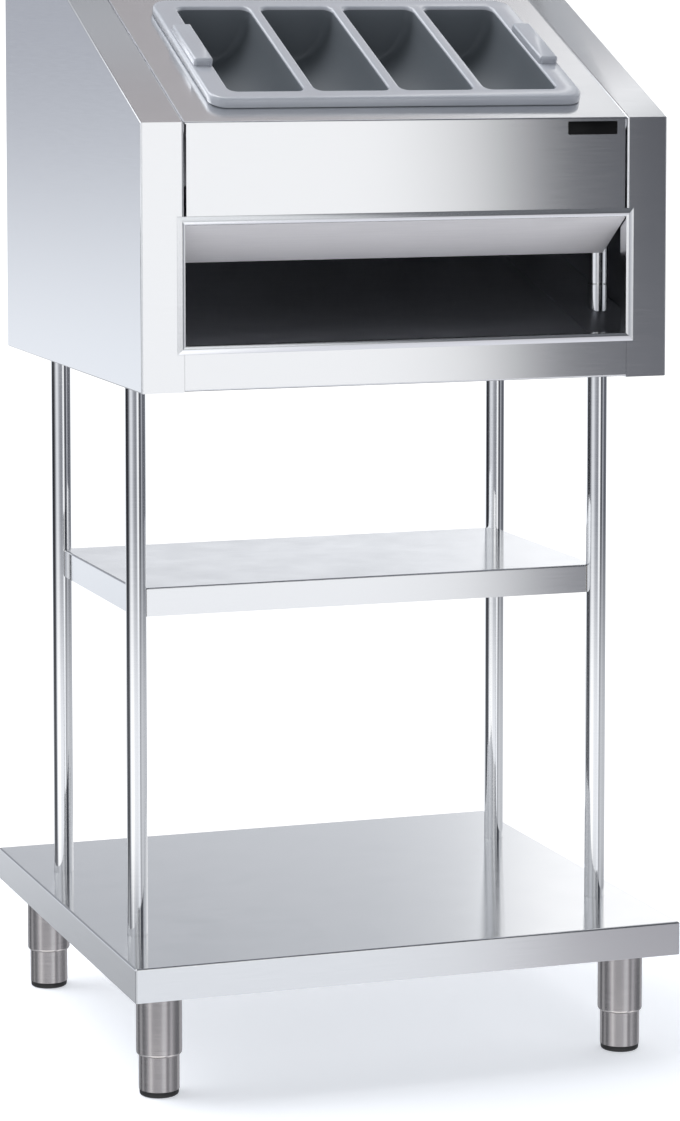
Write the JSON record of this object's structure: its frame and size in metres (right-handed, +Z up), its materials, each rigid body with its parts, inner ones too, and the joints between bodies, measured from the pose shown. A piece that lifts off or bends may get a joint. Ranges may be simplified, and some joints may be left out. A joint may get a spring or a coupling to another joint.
{
  "type": "cutlery dispenser",
  "caption": "Free-standing stainless cutlery and bread dispenser: sloping head with a divided container, front bread mouth, glass shelf and tray shelf on tubes.",
  "frame": {"origin": "on the floor, under the middle of the base shelf", "axes": "+X to the customer's right, +Y to the back, +Z up"},
  "size_m": [0.78, 0.748, 1.524],
  "materials": {
    "satin_sheet": "satin brushed stainless sheet",
    "inner_sheet": "plain stainless sheet, inside and underneath",
    "polished_tube": "polished stainless tube",
    "leg_steel": "brushed stainless tube",
    "plated_steel": "bright stainless fasteners",
    "black_plastic": "black moulded plastic",
    "grey_plastic": "grey moulded plastic, semi-gloss",
    "black_plate": "black gloss plate, blank"
  },
  "bodies": {
    "stand": {"back_panel": "inner_sheet", "back_panel_screws": "plated_steel", "base_ribs": "inner_sheet", "base_shelf": "satin_sheet", "bread_floor": "inner_sheet", "bread_floor_ledges": "inner_sheet", "cutlery_deck": "satin_sheet", "deck_ledges": "inner_sheet", "front_rail": "satin_sheet", "glass_shelf": "satin_sheet", "glass_shelf_rib": "inner_sheet", "head_post_front_left": "polished_tube", "head_post_front_right": "polished_tube", "head_post_rear_left": "polished_tube", "head_post_rear_right": "polished_tube", "leg_bushes": "plated_steel", "leg_front_left": "leg_steel", "leg_front_right": "leg_steel", "leg_plates": "inner_sheet", "leg_rear_left": "leg_steel", "leg_rear_right": "leg_steel", "lid_hinge_fixed_leaf": "satin_sheet", "lid_hinge_pin": "plated_steel", "name_plate": "black_plate", "opening_trim": "satin_sheet", "post_bolts": "plated_steel", "post_brackets": "inner_sheet", "post_plugs": "plated_steel", "side_panel_left": "satin_sheet", "side_panel_right": "satin_sheet", "top_panel": "satin_sheet", "tube_connectors": "plated_steel", "underside_panel": "inner_sheet", "upright_base_plugs": "plated_steel", "upright_bolts": "plated_steel", "upright_front_left": "polished_tube", "upright_front_right": "polished_tube", "upright_plates": "inner_sheet", "upright_rear_left": "polished_tube", "upright_rear_right": "polished_tube", "upright_washers": "plated_steel"},
    "cutlery_container": {"cutlery_container": "grey_plastic"},
    "bread_lid": {"bread_lid": "satin_sheet", "lid_hinge_moving_leaf": "satin_sheet", "lid_handle": "polished_tube", "lid_handle_screws": "plated_steel"},
    "foot_front_left": {"foot_sleeve_front_left": "leg_steel", "foot_spindle_front_left": "plated_steel", "foot_glide_front_left": "black_plastic"},
    "foot_front_right": {"foot_sleeve_front_right": "leg_steel", "foot_spindle_front_right": "plated_steel", "foot_glide_front_right": "black_plastic"},
    "foot_rear_left": {"foot_sleeve_rear_left": "leg_steel", "foot_spindle_rear_left": "plated_steel", "foot_glide_rear_left": "black_plastic"},
    "foot_rear_right": {"foot_sleeve_rear_right": "leg_steel", "foot_spindle_rear_right": "plated_steel", "foot_glide_rear_right": "black_plastic"}
  },
  "joints": [
    {"name": "container_lift", "type": "slide", "parent": "stand", "child": "cutlery_container", "axis": [0, -0.4003, 0.9164], "range_m": [0, 0.16]},
    {"name": "lid_hinge", "type": "hinge", "parent": "stand", "child": "bread_lid", "pos_m": [0, 0.331, 1.48045], "axis": [-1, 0, 0], "range_deg": [0, 100]},
    {"name": "foot_front_left_screw", "type": "slide", "parent": "stand", "child": "foot_front_left", "axis": [0, 0, 1], "range_m": [-0.03, 0.02]},
    {"name": "foot_front_right_screw", "type": "slide", "parent": "stand", "child": "foot_front_right", "axis": [0, 0, 1], "range_m": [-0.03, 0.02]},
    {"name": "foot_rear_left_screw", "type": "slide", "parent": "stand", "child": "foot_rear_left", "axis": [0, 0, 1], "range_m": [-0.03, 0.02]},
    {"name": "foot_rear_right_screw", "type": "slide", "parent": "stand", "child": "foot_rear_right", "axis": [0, 0, 1], "range_m": [-0.03, 0.02]}
  ]
}
